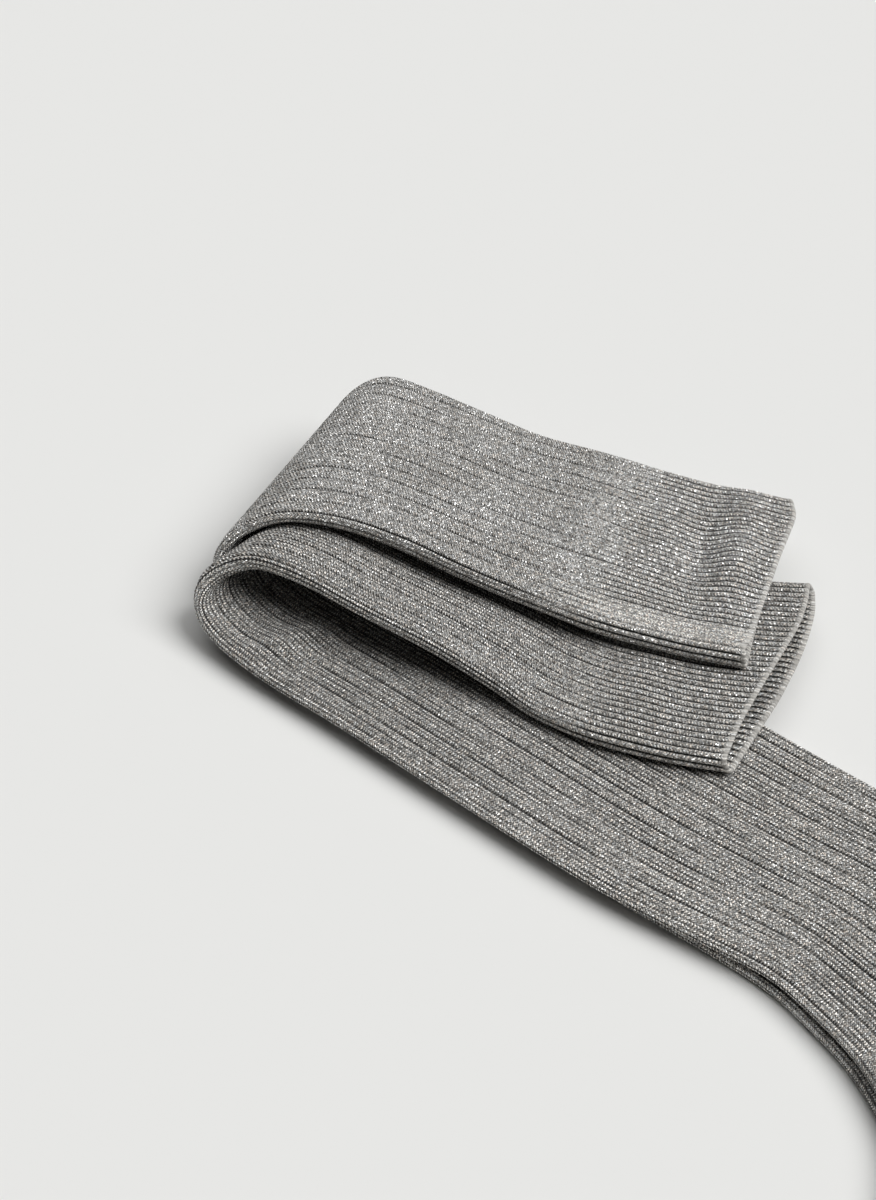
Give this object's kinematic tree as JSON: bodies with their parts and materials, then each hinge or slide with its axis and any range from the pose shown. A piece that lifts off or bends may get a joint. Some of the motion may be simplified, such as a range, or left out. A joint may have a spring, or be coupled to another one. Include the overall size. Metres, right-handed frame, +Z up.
{
  "type": "pair of socks",
  "caption": "Pair of long ribbed cashmere-blend socks, laid flat on each other and folded over once at the calf, with the cuffs on top and the feet turned at the heel.",
  "frame": {"origin": "middle of the pair's footprint, on the surface it lies on", "axes": "+X along the lower legs towards the feet, +Y across them from the instep edge to the calf edge, +Z up"},
  "size_m": [0.4154, 0.3121, 0.0309],
  "materials": {
    "leg_rib": "warm grey melange wide-rib knit with a fine silver metallic yarn",
    "cuff_rib": "warm grey melange one-by-one rib with a fine silver metallic yarn and a paler welt",
    "plain_knit": "warm grey melange plain knit"
  },
  "bodies": {
    "root": {"outer_cuff": "cuff_rib", "outer_leg": "leg_rib", "outer_heel": "plain_knit", "outer_foot": "leg_rib", "outer_toe": "plain_knit", "inner_cuff": "cuff_rib", "inner_leg": "leg_rib", "inner_heel": "plain_knit", "inner_foot": "leg_rib", "inner_toe": "plain_knit"}
  },
  "joints": []
}
